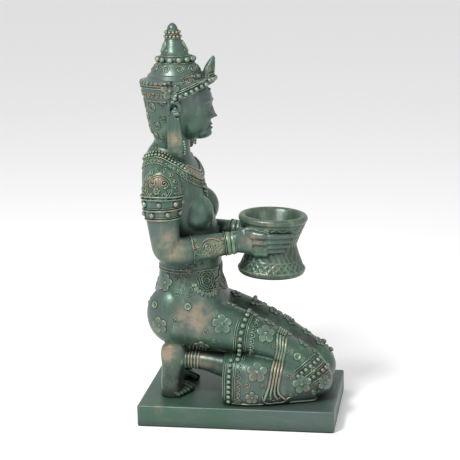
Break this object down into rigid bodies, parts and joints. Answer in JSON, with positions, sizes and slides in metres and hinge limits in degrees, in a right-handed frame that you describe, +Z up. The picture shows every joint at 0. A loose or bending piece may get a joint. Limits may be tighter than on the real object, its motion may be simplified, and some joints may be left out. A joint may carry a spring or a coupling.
{
  "type": "kneeling goddess statue",
  "caption": "Kneeling goddess in a tall crown and flowered skirt, holding out an hourglass bowl, on a low oblong plinth; cast resin with a verdigris bronze finish.",
  "frame": {"origin": "middle of the plinth's underside", "axes": "+Z up, +X the way the goddess faces, +Y to her left"},
  "size_m": [0.3939, 0.2727, 0.7867],
  "materials": {
    "figure_finish": "satin verdigris-bronze paint on cast resin, dark in the hollows, rubbed copper brown on the high places",
    "bowl_finish": "satin verdigris-bronze paint on cast resin, lightly brushed",
    "plinth_finish": "satin verdigris-bronze paint on cast resin, with faint brush marks"
  },
  "bodies": {
    "root": {"kneeling_figure": "figure_finish", "offering_bowl": "bowl_finish", "plinth": "plinth_finish"}
  },
  "joints": []
}
